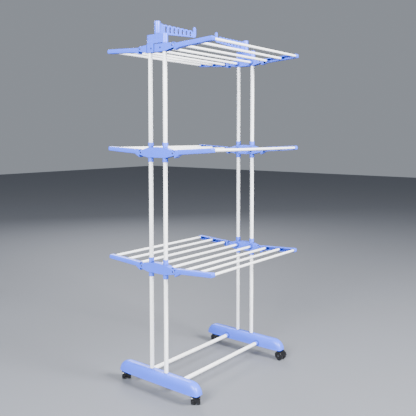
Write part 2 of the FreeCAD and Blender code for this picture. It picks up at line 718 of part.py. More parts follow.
def make_hanger_arm(side):
    """A swivelling arm with slots for hanger hooks; local +X points along it."""
    body = new_body("hanger_arm_" + side)
    seat = s.turn_gap
    knuckle = grow(body, sketch_on(body, "XY", seat, circles=[(0, 0, s.knuckle_radius)]),
                   s.knuckle_height)
    round_edges(body, knuckle, 1.2, lambda edge: lies_on(
        edge, 2, seat.number + s.knuckle_height.number))
    last_slot = s.slot_start + s.slot_pitch * (SLOT_COUNT - 1)
    finger_in = s.hanger_reach - s.finger_radius
    finger_out = s.hanger_reach + s.finger_radius
    loop_centre = s.hanger_top - s.loop_radius
    wall = s.slot_radius
    neck = s.knuckle_radius * 0.7
    # A sketch on the XZ plane has X across and Z up, and its normal points to -Y.
    web = [(neck, s.hanger_belly - s.turn_gap * 2),
           (s.slot_start, s.hanger_belly), (last_slot, s.hanger_belly_end),
           (finger_out, s.hanger_belly_end),
           (finger_out, loop_centre), (last_slot, s.hanger_top - wall),
           (s.slot_start - s.loop_radius, s.hanger_top),
           (neck, s.hanger_top + wall)]
    blade = grow(body, sketch_on(body, "XZ", outlines=[web]), s.hanger_skin, True)
    round_edges(body, blade, s.hanger_corner, lambda edge: runs_along(edge, 1)
                and abs(edge.CenterOfMass.x - finger_out.number) < 1e-3
                and edge.CenterOfMass.z < loop_centre.number - 1)
    slots = [s.slot_start + s.slot_pitch * number for number in range(SLOT_COUNT)]
    loops = [(slot, loop_centre, s.loop_radius) for slot in slots[::2]]
    grow(body, sketch_on(body, "XZ", circles=loops), s.hanger_skin, True)
    loops = [(slot, loop_centre, s.loop_radius) for slot in slots[1::2]]
    grow(body, sketch_on(body, "XZ", circles=loops), s.hanger_skin, True)
    finger = [(finger_in, loop_centre), (finger_out, loop_centre),
              (finger_out, s.finger_top - s.finger_radius),
              (finger_in, s.finger_top - s.finger_radius)]
    grow(body, sketch_on(body, "XZ", outlines=[finger]), s.hanger_skin, True)
    tip = [(s.hanger_reach, s.finger_top - s.finger_radius, s.finger_radius)]
    grow(body, sketch_on(body, "XZ", circles=tip), s.hanger_skin, True)

    slot_top = loop_centre - s.slot_radius
    floors = [s.slot_floor + s.slot_radius + s.slot_climb * number
              for number in range(SLOT_COUNT)]
    straights = []
    for slot, floor in zip(slots, floors):
        straights.append([(slot - s.slot_radius, floor), (slot + s.slot_radius, floor),
                          (slot + s.slot_radius, slot_top), (slot - s.slot_radius, slot_top)])
    cut(body, sketch_on(body, "XZ", outlines=straights), s.hanger_skin + CLEAR, True)
    tops = [(slot, slot_top, s.slot_radius) for slot in slots]
    cut(body, sketch_on(body, "XZ", circles=tops), s.hanger_skin + CLEAR, True)
    bottoms = [(slot, floor, s.slot_radius) for slot, floor in zip(slots, floors)]
    cut(body, sketch_on(body, "XZ", circles=bottoms), s.hanger_skin + CLEAR, True)

    socket = [(0, 0, s.spigot_radius + s.turn_fit)]
    cut(body, sketch_on(body, "XY", seat, circles=socket), s.spigot_height, along=True)
    bolt = [(0, 0, s.screw_radius + s.turn_fit)]
    knuckle_top = seat + s.knuckle_height
    cut(body, sketch_on(body, "XY", knuckle_top, circles=bolt), s.knuckle_height)
    head = [(0, 0, s.screw_head + s.turn_gap)]
    cut(body, sketch_on(body, "XY", knuckle_top, circles=head), bolt_recess)
    place(body, half_gap * SIDES[side], 0, cap_top, yaw=0 if side == "left" else 180)


bolt_recess = s.head_height * 5


def make_hanger_bolts():
    """One bolt down through each knuckle into its spigot."""
    bolts = []
    bottom = s.spigot_height / 2
    head_height = s.head_height * 3
    under_head = s.turn_gap + s.knuckle_height - bolt_recess + s.turn_gap
    for side in SIDES.values():
        shank = cylinder(s.screw_radius, under_head - bottom)
        place(shank, half_gap * side, 0, cap_top + bottom)
        head = cylinder(s.screw_head, head_height)
        place(head, half_gap * side, 0, cap_top + under_head)
        bolt = document.addObject("Part::MultiFuse", "Bolt")
        bolt.Shapes = [shank, head]
        bolts.append(bolt)
    group("hanger_bolts", bolts)


# ---------------------------------------------------------------- casters

def caster_spot(side, wing):
    """Where a caster stands, and which way it trails."""
    return (half_gap * SIDES[side], s.caster_reach * WINGS[wing], 0,
            CASTER_HEADINGS[side, wing])


def make_caster_stems():
    """Four stems, pressed into the feet, each with a flange and a lower spigot."""
    stems = []
    for side in SIDES:
        for wing in WINGS:
            x, y, floor, heading = caster_spot(side, wing)
            flange_height = s.foot_base - flange_floor
            parts = ((s.stem_radius, s.foot_base, s.stem_length - s.end_gap),
                     (s.stem_radius * 2, flange_floor, flange_height),
                     (s.axle_radius, s.spigot_end, flange_floor - s.spigot_end))
            pieces = []
            for radius, bottom, height in parts:
                piece = cylinder(radius, height)
                place(piece, x, y, bottom)
                pieces.append(piece)
            stem = document.addObject("Part::MultiFuse", "Stem")
            stem.Shapes = pieces
            stems.append(stem)
    group("caster_stems", stems)


hood_top = s.wheel_radius + s.hood_radius + 1.5
flange_floor = hood_top + s.turn_gap


def make_hood(side, wing):
    """A caster's body: a hood over both wheels and a core that holds stem and axle."""
    body = new_body("caster_hood_%s_%s" % (side, wing))
    axle = s.wheel_radius
    core_width = s.wheel_gap - s.turn_gap * 2
    # The hood stops one millimetre short of the wheels' outer faces.
    full_width = s.wheel_gap + (s.wheel_width - 1) * 2
    grow(body, sketch_on(body, "XZ", circles=[(s.trail, axle, s.hood_radius)]),
         full_width, True)
    inside = [(s.trail, axle, s.hood_radius - s.hood_wall)]
    cut(body, sketch_on(body, "XZ", circles=inside), full_width + CLEAR, True)
    under = -s.hood_radius
    past = s.trail + s.hood_radius * 2
    rim = axle + s.axle_radius
    low = [(-s.hood_radius, under), (past, under), (past, rim), (-s.hood_radius, rim)]
    cut(body, sketch_on(body, "XZ", outlines=[low]), full_width + CLEAR, True)
    boss = core_width / 2
    # The core's outline runs round the axle and up to the hood, inside its curve.
    chin = 6
    floor_of_core = axle - 8
    long_way, short_way = s.hood_radius * 0.8, s.hood_radius * 0.5
    core = [(-boss, s.spigot_end - s.axle_radius), (s.trail - chin, floor_of_core),
            (s.trail + chin, floor_of_core), (s.trail + long_way, axle + short_way),
            (s.trail + short_way, axle + long_way), (s.trail * 0.6, hood_top),
            (-boss, hood_top)]
    grow(body, sketch_on(body, "XZ", outlines=[core]), core_width, True)
    stem = [(0, 0, s.axle_radius + s.turn_fit)]
    cut(body, sketch_on(body, "XY", hood_top, circles=stem), hood_top - s.spigot_end + 1)
    shaft = [(s.trail, axle, s.axle_radius + s.turn_fit)]
    cut(body, sketch_on(body, "XZ", circles=shaft), full_width, True)
    x, y, floor, heading = caster_spot(side, wing)
    place(body, x, y, floor, yaw=heading)


def revolve_about_axle(label, outlines, side, wing):
    """Turn outlines, given as distance along the axle and radius, about a caster's axle."""
    sketch = document.addObject("Sketcher::SketchObject", "Profile")
    for points in outlines:
        draw_outline(sketch, points)
    turned = document.addObject("Part::Revolution", "Turned_" + label)
    turned.Source = sketch
    turned.Axis = (1, 0, 0)
    turned.Base = (0, 0, 0)
    turned.Angle = 360
    turned.Solid = True
    x, y, floor, heading = caster_spot(side, wing)
    heading = Size.of(heading)
    axle_x = x + s.trail * cosine(heading)
    axle_y = y + s.trail * sine(heading)
    place(turned, axle_x, axle_y, s.wheel_radius, yaw=heading + 90)
    return finish(turned, label)


def make_wheels(side, wing):
    """The two wheels of a caster, pressed on its axle."""
    near = s.wheel_gap / 2
    far = near + s.wheel_width
    rim = s.wheel_radius
    edge, shoulder, corner = 1.5, 3.5, 1.2
    ring, dish = 5.5, 1.5
    hub = s.axle_radius + dish
    wheel = [(near, s.axle_radius), (near, rim - edge), (near + edge, rim),
             (far - shoulder, rim), (far - corner, rim - corner), (far, rim - shoulder),
             (far, rim - ring), (far - dish, rim - ring - dish), (far - dish, hub + dish),
             (far, hub), (far, s.axle_radius)]
    other = [(-x, y) for x, y in reversed(wheel)]
    revolve_about_axle("caster_wheels_%s_%s" % (side, wing), [wheel, other], side, wing)


def make_axle(side, wing):
    end = s.wheel_gap / 2 + s.wheel_width
    rod = [(-end, 0), (end, 0), (end, s.axle_radius), (-end, s.axle_radius)]
    revolve_about_axle("caster_axle_%s_%s" % (side, wing), [rod], side, wing)


# ---------------------------------------------------------------- assembly

def build():
    foot_floor = foot_top - s.foot_socket + s.end_gap
    web = s.joint_web / 2
    for side in SIDES:
        make_foot(side)
        make_uprights(side, "lower", foot_floor, s.lower_tier - web)
        make_uprights(side, "middle", s.lower_tier + web, s.middle_tier - web)
        make_uprights(side, "upper", s.middle_tier + web, cap_top - s.cap_roof - s.end_gap)
        make_cap(side)
        make_hanger_arm(side)
        for tier in TIERS:
            make_hub(side, tier)
        for wing in WINGS:
            make_hood(side, wing)
            make_wheels(side, wing)
            make_axle(side, wing)
    for wing in WINGS:
        make_base_bar(wing)
    for tier in TIERS:
        make_centre_rails(tier)
        for wing in WINGS:
            make_wing_rails(tier, wing)
            for side in SIDES:
                make_arm(side, tier, wing)
    make_hinge_pins()
    make_cap_screws()
    make_hanger_bolts()
    make_caster_stems()
    document.recompute()


def check_model():
    """Stop if any object failed or any finished piece isn't a sound solid."""
    for item in document.Objects:
        if "Invalid" in item.State or "Error" in item.State:
            raise RuntimeError("%s (%s) failed: %s" % (item.Label, item.Name, item.State))
    for item in finished:
        shape = item.Shape
        if shape.isNull() or not shape.isValid() or not shape.Solids:
            raise RuntimeError("%s has no sound shape" % item.Label)


def export():
    os.makedirs("parts", exist_ok=True)
    for item in finished:
        item.Shape.exportStep("parts/%s.step" % item.Label)


build()
check_model()
export()
for item in finished:
    box = item.Shape.BoundBox
    print("%-28s solids %2d  volume %9.0f  z %7.1f to %7.1f" % (
        item.Label, len(item.Shape.Solids), item.Shape.Volume, box.ZMin, box.ZMax))
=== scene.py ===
import json
import math

import bmesh
import bpy
import numpy as np
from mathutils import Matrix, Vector


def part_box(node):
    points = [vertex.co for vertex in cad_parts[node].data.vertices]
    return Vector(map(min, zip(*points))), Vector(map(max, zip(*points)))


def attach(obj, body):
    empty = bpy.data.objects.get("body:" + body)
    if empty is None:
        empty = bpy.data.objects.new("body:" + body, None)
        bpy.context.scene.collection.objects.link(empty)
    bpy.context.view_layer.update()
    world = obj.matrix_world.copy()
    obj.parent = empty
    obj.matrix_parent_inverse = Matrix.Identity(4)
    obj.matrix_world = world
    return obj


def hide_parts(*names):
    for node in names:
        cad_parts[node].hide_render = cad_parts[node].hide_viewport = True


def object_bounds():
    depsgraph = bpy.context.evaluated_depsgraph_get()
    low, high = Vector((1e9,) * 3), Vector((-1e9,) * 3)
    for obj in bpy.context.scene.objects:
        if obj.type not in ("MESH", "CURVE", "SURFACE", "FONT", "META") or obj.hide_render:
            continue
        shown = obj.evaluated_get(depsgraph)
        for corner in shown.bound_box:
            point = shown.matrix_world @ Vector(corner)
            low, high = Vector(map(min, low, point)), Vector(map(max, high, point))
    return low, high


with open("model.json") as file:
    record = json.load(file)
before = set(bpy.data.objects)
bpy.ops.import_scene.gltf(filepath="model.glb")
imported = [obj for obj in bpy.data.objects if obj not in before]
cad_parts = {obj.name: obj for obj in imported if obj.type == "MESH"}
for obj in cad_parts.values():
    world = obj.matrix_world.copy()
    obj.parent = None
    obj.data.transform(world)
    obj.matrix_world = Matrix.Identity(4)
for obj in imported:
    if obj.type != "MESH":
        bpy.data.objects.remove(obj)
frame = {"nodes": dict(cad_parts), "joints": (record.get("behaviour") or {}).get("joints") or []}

CAD_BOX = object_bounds()

bl_info = {
    "name": "Clothes Drying Rack",
    "version": (1, 0, 0),
    "blender": (4, 5, 0),
    "location": "3D View > Sidebar > Drying Rack",
    "description": "Builds the looks of a three-tier clothes drying rack round its frame",
    "category": "Add Mesh",
}

# ---------------------------------------------------------------- what the frame says

SIDES = {"left": -1, "right": 1}
WINGS = {"front": -1, "back": 1}
TIERS = ("lower", "middle", "upper")
JOINTS = {joint["name"]: joint for joint in frame["joints"]}
FLOOR = CAD_BOX[0][2]


def span(node):
    """Lowest corner, highest corner and middle of a CAD node, as arrays."""
    low, high = (np.array(corner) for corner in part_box(node))
    return low, high, (low + high) / 2


TUBE_RADIUS = (span("base_bar_front")[1][2] - span("base_bar_front")[0][2]) / 2
FRAME_X = span("uprights_lower_right")[2][0]
UPRIGHT_Y = span("uprights_lower_right")[1][1] - TUBE_RADIUS
RAIL_RADIUS = (span("centre_rails_lower")[1][2] - span("centre_rails_lower")[0][2]) / 2
FOOT_TOP = span("foot_right")[1][2]
FOOT_HALF_WIDTH = span("foot_right")[1][0] - FRAME_X
PIN_RADIUS = 0.003
# Play between a bore and what goes through it.
FIT = 0.0001


# ---------------------------------------------------------------- settings

class RackSizes(bpy.types.PropertyGroup):
    """Sizes of the details that the frame leaves open."""

    foot_lip: bpy.props.FloatProperty(
        name="Foot lip", description="How far the lip round a foot's lower edge stands out",
        default=0.0012, unit="LENGTH")
    foot_wall: bpy.props.FloatProperty(
        name="Foot wall", description="Wall thickness of the moulded feet",
        default=0.0025, unit="LENGTH")
    tube_wall: bpy.props.FloatProperty(
        name="Tube wall", description="Wall thickness of the steel tubes and rails",
        default=0.001, unit="LENGTH")
    arm_skin: bpy.props.FloatProperty(
        name="Arm skin", description="Thickness of the arms' walls",
        default=0.0027, unit="LENGTH")
    arm_root: bpy.props.FloatProperty(
        name="Arm root", description="Half the height of an arm at its root",
        default=0.0109, unit="LENGTH")
    arm_tip: bpy.props.FloatProperty(
        name="Arm tip", description="Half the height of an arm at its tip",
        default=0.0098, unit="LENGTH")
    heel_drop: bpy.props.FloatProperty(
        name="Heel", description="Depth of an arm's heel below its hinge",
        default=0.0215, unit="LENGTH")
    edge_round: bpy.props.FloatProperty(
        name="Edge rounding", description="Rounding of the mouldings' edges",
        default=0.0009, unit="LENGTH")
    tread_round: bpy.props.FloatProperty(
        name="Tread rounding", description="Radius of the caster wheels' shoulders",
        default=0.0032, unit="LENGTH")


class RackColours(bpy.types.PropertyGroup):
    """Colours of the finishes, as sRGB hex values."""

    plastic: bpy.props.StringProperty(
        name="Plastic", description="Moulded polypropylene of feet, hubs, arms and caps",
        default="4467f4")
    paint: bpy.props.StringProperty(
        name="Paint", description="Powder coat of the steel tubes", default="fbfdff")
    caster: bpy.props.StringProperty(
        name="Casters", description="Polished nylon of the casters", default="0d0d0f")
    zinc: bpy.props.StringProperty(
        name="Zinc", description="Zinc plating of pins and screws", default="77797d")
    floor: bpy.props.StringProperty(
        name="Floor", description="Plain pale studio floor", default="6d7077")


def sizes():
    return bpy.context.scene.rack_sizes


def colours():
    return bpy.context.scene.rack_colours


# ---------------------------------------------------------------- surfaces

def arc(centre, radius, start, end, count=6):
    """Points on a round corner: centre plus radius at each of evenly spaced angles."""
    angle = np.radians(np.linspace(start, end, count))
    return np.stack([centre[0] + radius * np.cos(angle),
                     centre[1] + radius * np.sin(angle)], axis=1)


def grid_faces(rows, columns, wrap_rows=False, wrap_columns=False):
    """Quads between neighbouring points of a grid of rows times columns."""
    row = np.arange(rows if wrap_rows else rows - 1)
    column = np.arange(columns if wrap_columns else columns - 1)
    r, c = np.meshgrid(row, column, indexing="ij")
    next_r, next_c = (r + 1) % rows, (c + 1) % columns
    corners = (r * columns + c, next_r * columns + c,
               next_r * columns + next_c, r * columns + next_c)
    return np.stack(corners, axis=-1).reshape(-1, 4)


class Surface:
    """Several grids gathered into one mesh."""

    def __init__(self):
        self.points = []
        self.faces = []
        self.count = 0

    def add(self, points, faces):
        self.points.append(points.reshape(-1, 3))
        self.faces.extend((np.asarray(face) + self.count).tolist() for face in faces)
        self.count += len(self.points[-1])
        return self

    def grid(self, points, wrap_rows=False, wrap_columns=False, caps=False):
        """A grid of points (rows, columns, xyz); caps close the first and last row."""
        rows, columns = points.shape[:2]
        faces = list(grid_faces(rows, columns, wrap_rows, wrap_columns))
        if caps:
            faces.append(np.arange(columns)[::-1])
            faces.append(np.arange(columns) + (rows - 1) * columns)
        return self.add(points, faces)

    def lathe(self, profile, origin, axis, count=48, closed=True):
        """Turn a profile about an axis.

        Each (distance, radius) point goes to origin + distance * axis
        + radius * (across * cos a + over * sin a), for count angles a.
        """
        profile = np.asarray(profile, float)
        axis = np.asarray(axis, float)
        across = np.cross(axis, (0, 0, 1) if abs(axis[2]) < 0.9 else (1, 0, 0))
        across /= np.linalg.norm(across)
        over = np.cross(axis, across)
        angle = np.linspace(0, 2 * math.pi, count, endpoint=False)
        turn = (np.cos(angle)[:, None] * across + np.sin(angle)[:, None] * over)
        points = (np.asarray(origin, float) + profile[:, None, :1] * axis
                  + profile[:, None, 1:] * turn[None])
        return self.grid(points, wrap_rows=closed, wrap_columns=True)

    def prism(self, outline, ends, origin, along, outward, up):
        """A prism: an outline of (outward, up) points drawn at both ends of a stretch.

        Each point goes to origin + end * along + first * outward + second * up.
        """
        outline = np.asarray(outline, float)
        rows = [np.asarray(origin) + step * np.asarray(along)
                + outline[:, :1] * outward + outline[:, 1:] * up for step in ends]
        return self.grid(np.array(rows), wrap_columns=True, caps=True)

    def plate(self, outline, thickness, edge, origin, along, across, up):
        """A plate with chamfered edges from an outline of (along, up) points.

        The outline is drawn at four depths; on the outer two it is drawn in by the
        chamfer, each point moving square to the line between its neighbours.
        """
        outline = np.asarray(outline, float)
        tangent = np.roll(outline, -1, axis=0) - np.roll(outline, 1, axis=0)
        tangent /= np.linalg.norm(tangent, axis=1, keepdims=True)
        normal = np.stack([-tangent[:, 1], tangent[:, 0]], axis=1) * edge
        rows = []
        for depth, inset in ((-0.5, 1), (-0.5 + edge / thickness, 0),
                             (0.5 - edge / thickness, 0), (0.5, 1)):
            line = outline + normal * inset
            rows.append(np.asarray(origin) + depth * thickness * across
                        + line[:, :1] * along + line[:, 1:] * up)
        return self.grid(np.array(rows), wrap_columns=True, caps=True)

    def loop(self, outer, inner, thickness, edge, origin, along, across, up):
        """A closed band between an outer and an inner outline of equally many points.

        Rows follow the outlines; each column goes once round the chamfered section.
        """
        way = inner - outer
        way /= np.linalg.norm(way, axis=1, keepdims=True)
        half = thickness / 2
        section = ((outer, -half + edge), (outer + way * edge, -half),
                   (inner - way * edge, -half), (inner, -half + edge),
                   (inner, half - edge), (inner - way * edge, half),
                   (outer + way * edge, half), (outer, half - edge))
        columns = [np.asarray(origin) + depth * across + line[:, :1] * along
                   + line[:, 1:] * up for line, depth in section]
        return self.grid(np.stack(columns, axis=1), wrap_rows=True, wrap_columns=True)

    def mesh(self, name, sharp=35):
        """The grids as one mesh: doubles merged, normals outward, sharp edges marked."""
        mesh = bpy.data.meshes.new(name)
        mesh.from_pydata(np.concatenate(self.points).tolist(), [], self.faces)
        work = bmesh.new()
        work.from_mesh(mesh)
        bmesh.ops.remove_doubles(work, verts=work.verts, dist=1e-7)
        bmesh.ops.dissolve_degenerate(work, edges=work.edges, dist=1e-8)
        bmesh.ops.recalc_face_normals(work, faces=work.faces)
        work.to_mesh(mesh)
        work.free()
        mesh.shade_smooth()
        mesh.set_sharp_from_angle(angle=math.radians(sharp))
        return mesh


def make_piece(name, surface, material, body, nodes, sharp=35):
    """Put a surface in the scene as a piece that stands for CAD nodes."""
    mesh = surface.mesh(name, sharp)
    mesh.materials.append(material)
    piece = bpy.data.objects.new(name, mesh)
    bpy.context.scene.collection.objects.link(piece)
    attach(piece, body)
    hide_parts(*nodes)
    return piece


def tube_profile(length, radius, wall):
    """Closed profile of an open tube with rolled ends, from 0 to length."""
    inner = radius - wall
    lip, inner_lip = wall * 0.5, wall * 0.4
    return np.concatenate([
        arc((lip, radius - lip), lip, 180, 90), arc((length - lip, radius - lip), lip, 90, 0),
        arc((length - inner_lip, inner + inner_lip), inner_lip, 0, -90, 4),
        arc((inner_lip, inner + inner_lip), inner_lip, -90, -180, 4)])


# ---------------------------------------------------------------- materials

def linear(hexcode):
    """An sRGB hex colour as linear RGBA."""
    values = [int(hexcode[i:i + 2], 16) / 255 for i in (0, 2, 4)]
    return tuple(v / 12.92 if v <= 0.04045 else ((v + 0.055) / 1.055) ** 2.4
                 for v in values) + (1.0,)


def shade(colour, factor):
    """A linear colour made darker or lighter."""
    return tuple(min(1.0, c * factor) for c in colour[:3]) + (1.0,)


def add_node(tree, kind, links=None, **settings):
    """Add a node, set its properties and inputs, and link outputs into its inputs."""
    node = tree.nodes.new(kind)
    for name, value in settings.items():
        if name in node.inputs:
            node.inputs[name].default_value = value
        else:
            setattr(node, name, value)
    for name, output in (links or {}).items():
        tree.links.new(output, node.inputs[name])
    return node


def new_material(name):
    """An empty node material with its shader, and Object coordinates in metres."""
    material = bpy.data.materials.new(name)
    material.use_nodes = True
    tree = material.node_tree
    tree.nodes.clear()
    output = tree.nodes.new("ShaderNodeOutputMaterial")
    shader = tree.nodes.new("ShaderNodeBsdfPrincipled")
    tree.links.new(shader.outputs["BSDF"], output.inputs["Surface"])
    place = tree.nodes.new("ShaderNodeTexCoord").outputs["Object"]
    return material, tree, shader, place


# Sockets of a Mix node in its colour mode.
COLOUR_A, COLOUR_B, MIXED = 6, 7, 2


def blend(tree, factor, first, second):
    """The output of a mix from a first colour to a second as the factor rises."""
    mix = add_node(tree, "ShaderNodeMix", {"Factor": factor}, data_type="RGBA")
    mix.inputs[COLOUR_A].default_value = first
    mix.inputs[COLOUR_B].default_value = second
    return mix.outputs[MIXED]


def set_gloss(tree, shader, factor, low, high):
    """Let a factor move the roughness between two values."""
    gloss = add_node(tree, "ShaderNodeMapRange", {"Value": factor})
    gloss.inputs["To Min"].default_value = low
    gloss.inputs["To Max"].default_value = high
    tree.links.new(gloss.outputs["Result"], shader.inputs["Roughness"])


def set_relief(tree, shader, height, strength, distance):
    """Let a height tilt the shading normal."""
    bump = add_node(tree, "ShaderNodeBump", {"Height": height},
                    Strength=strength, Distance=distance)
    tree.links.new(bump.outputs["Normal"], shader.inputs["Normal"])


def per_metre(millimetres):
    """Noise scale that gives features of a size in millimetres."""
    return 1000.0 / millimetres


def moulded_polypropylene(name, hexcode):
    """Injection-moulded polypropylene: a clean satin gloss over a faint spark-eroded grain,
    slightly cloudy colour where the melt flowed, a little light inside, and painted shade in
    seams."""
    material, tree, shader, place = new_material(name)
    colour = linear(hexcode)
    cloud = add_node(tree, "ShaderNodeTexNoise", {"Vector": place}, Scale=per_metre(70),
                     Detail=3.0, Roughness=0.55)
    tint = blend(tree, cloud.outputs["Fac"], shade(colour, 0.93), shade(colour, 1.06))
    # Painted shade in seams between mouldings: where ambient occlusion finds a seam or recess,
    # the colour deepens towards a dark shade of itself.
    seam_occlusion = add_node(tree, "ShaderNodeAmbientOcclusion", {"Color": tint},
                    samples=6, Distance=0.009)
    depth = add_node(tree, "ShaderNodeMath", {0: seam_occlusion.outputs["AO"]}, operation="POWER")
    depth.inputs[1].default_value = 2.6
    painted_seam_shade = add_node(tree, "ShaderNodeMix", {"Factor": depth.outputs[0], COLOUR_B: tint},
                      data_type="RGBA")
    # Painted shade: the dark colour mixed in where occlusion is strong.
    painted_seam_shade.inputs[COLOUR_A].default_value = shade(colour, 0.12)
    tree.links.new(painted_seam_shade.outputs[MIXED], shader.inputs["Base Color"])
    smear = add_node(tree, "ShaderNodeTexNoise", {"Vector": place}, Scale=per_metre(14),
                     Detail=4.0, Roughness=0.6, Distortion=0.4)
    set_gloss(tree, shader, smear.outputs["Fac"], 0.30, 0.44)
    # A real grain is 0.1 mm; 0.7 mm is the finest that still shows.
    grain = add_node(tree, "ShaderNodeTexNoise", {"Vector": place}, Scale=per_metre(0.7),
                     Detail=2.0, Roughness=0.7)
    sink = add_node(tree, "ShaderNodeTexNoise", {"Vector": place}, Scale=per_metre(24),
                    Detail=1.0)
    height = add_node(tree, "ShaderNodeMath", {0: grain.outputs["Fac"]},
                      operation="MULTIPLY_ADD")
    height.inputs[1].default_value = 0.05
    tree.links.new(sink.outputs["Fac"], height.inputs[2])
    set_relief(tree, shader, height.outputs[0], 0.25, 0.0006)
    shader.inputs["IOR"].default_value = 1.49
    shader.inputs["Subsurface Weight"].default_value = 0.06
    shader.inputs["Subsurface Radius"].default_value = (0.6, 0.8, 1.0)
    shader.inputs["Subsurface Scale"].default_value = 0.002
    return material


def powder_coat(name, hexcode):
    """White powder coat on steel tube: bright satin with a fine orange peel."""
    material, tree, shader, place = new_material(name)
    colour = linear(hexcode)
    cloud = add_node(tree, "ShaderNodeTexNoise", {"Vector": place}, Scale=per_metre(120),
                     Detail=2.0)
    tint = blend(tree, cloud.outputs["Fac"], shade(colour, 0.96), shade(colour, 1.03))
    tree.links.new(tint, shader.inputs["Base Color"])
    wipe = add_node(tree, "ShaderNodeTexNoise", {"Vector": place}, Scale=per_metre(9),
                    Detail=3.0)
    set_gloss(tree, shader, wipe.outputs["Fac"], 0.24, 0.36)
    # Orange peel has ripples about 1.5 mm apart and a few microns high.
    peel = add_node(tree, "ShaderNodeTexNoise", {"Vector": place}, Scale=per_metre(1.5),
                    Detail=1.0)
    set_relief(tree, shader, peel.outputs["Fac"], 0.18, 0.0002)
    shader.inputs["Coat Weight"].default_value = 0.15
    shader.inputs["Coat Roughness"].default_value = 0.15
    return material


def polished_nylon(name, hexcode, low, high):
    """Black moulded nylon, polished in the tool, scuffed by use to a band of roughness."""
    material, tree, shader, place = new_material(name)
    shader.inputs["Base Color"].default_value = linear(hexcode)
    scuff = add_node(tree, "ShaderNodeTexNoise", {"Vector": place}, Scale=per_metre(5),
                     Detail=5.0, Roughness=0.7)
    set_gloss(tree, shader, scuff.outputs["Fac"], low, high)
    tint = blend(tree, scuff.outputs["Fac"], linear(hexcode), linear("1d1d20"))
    tree.links.new(tint, shader.inputs["Base Color"])
    set_relief(tree, shader, scuff.outputs["Fac"], 0.12, 0.0003)
    shader.inputs["IOR"].default_value = 1.53
    return material


def zinc_plated_steel(name, hexcode):
    """Bright zinc plate: a cool grey metal with a soft, slightly mottled shine."""
    material, tree, shader, place = new_material(name)
    colour = linear(hexcode)
    mottle = add_node(tree, "ShaderNodeTexNoise", {"Vector": place}, Scale=per_metre(1.2),
                      Detail=4.0)
    tint = blend(tree, mottle.outputs["Fac"], shade(colour, 0.8), shade(colour, 1.1))
    tree.links.new(tint, shader.inputs["Base Color"])
    set_gloss(tree, shader, mottle.outputs["Fac"], 0.22, 0.42)
    shader.inputs["Metallic"].default_value = 1.0
    return material


def studio_paper(name, hexcode):
    """Matt seamless paper for the floor, with a barely visible tooth."""
    material, tree, shader, place = new_material(name)
    colour = linear(hexcode)
    tooth = add_node(tree, "ShaderNodeTexNoise", {"Vector": place}, Scale=per_metre(400),
                     Detail=2.0)
    tint = blend(tree, tooth.outputs["Fac"], shade(colour, 0.985), shade(colour, 1.01))
    tree.links.new(tint, shader.inputs["Base Color"])
    shader.inputs["Roughness"].default_value = 0.75
    return material


_finishes = {}


def finish(name):
    """The rack's finishes, each made once."""
    if name not in _finishes:
        tones = colours()
        makers = {
            "plastic": lambda: moulded_polypropylene("moulded_polypropylene", tones.plastic),
            "paint": lambda: powder_coat("white_powder_coat", tones.paint),
            "nylon": lambda: polished_nylon("polished_black_nylon", tones.caster, 0.08, 0.2),
            "tread": lambda: polished_nylon("rolled_black_nylon", tones.caster, 0.16, 0.34),
            "zinc": lambda: zinc_plated_steel("zinc_plated_steel", tones.zinc),
            "floor": lambda: studio_paper("pale_studio_paper", tones.floor),
        }
        _finishes[name] = makers[name]()
    return _finishes[name]


def refinish(node, name):
    """Give a carried-over CAD node one of the rack's finishes."""
    materials = frame["nodes"][node].data.materials
    materials.clear()
    materials.append(finish(name))


# ---------------------------------------------------------------- operators

class RACK_OT_stage(bpy.types.Operator):
    """Pale floor, soft studio lights and the camera"""

    bl_idname = "rack.stage"
    bl_label = "Stage"

    def execute(self, context):
        scene = context.scene
        reach = 14.0
        paper = Surface().grid(np.array([[(-reach, -reach, FLOOR), (reach, -reach, FLOOR)],
                                         [(-reach, reach, FLOOR), (reach, reach, FLOOR)]]))
        mesh = paper.mesh("floor")
        mesh.materials.append(finish("floor"))
        floor = bpy.data.objects.new("floor", mesh)
        scene.collection.objects.link(floor)

        middle = Vector((0, 0, CAD_BOX[1][2] * 0.5))
        # Name, place, width, power and tone of each soft light.
        lights = (
            ("key", (0.2, -4.0, 3.1), 1.5, 800, (1.0, 0.99, 0.98)),
            ("fill", (-3.9, -0.8, 2.8), 2.0, 600, (0.97, 0.98, 1.0)),
            ("rim", (2.6, 3.4, 3.0), 2.0, 160, (1.0, 1.0, 1.0)),
        )
        for name, spot, width, power, tone in lights:
            data = bpy.data.lights.new(name, "AREA")
            data.shape = "DISK"
            data.size = width
            data.energy = power
            data.color = tone
            lamp = bpy.data.objects.new(name, data)
            lamp.location = spot
            lamp.rotation_euler = (middle - Vector(spot)).to_track_quat("-Z", "Y").to_euler()
            scene.collection.objects.link(lamp)

        world = bpy.data.worlds.new("studio")
        scene.world = world
        world.use_nodes = True
        background = world.node_tree.nodes["Background"]
        background.inputs["Color"].default_value = (0.76, 0.82, 0.92, 1)
        background.inputs["Strength"].default_value = 0.36

        data = bpy.data.cameras.new("camera")
        data.sensor_width = 36.0
        data.lens = 49.71
        data.shift_x = -0.0012
        data.shift_y = -0.0913
        camera = bpy.data.objects.new("camera", data)
        camera.location = (-2.2386, -1.8065, 1.1937)
        camera.rotation_euler = (math.radians(86.5283), 0, math.radians(-51.3753))
        scene.collection.objects.link(camera)
        scene.camera = camera
        return {"FINISHED"}


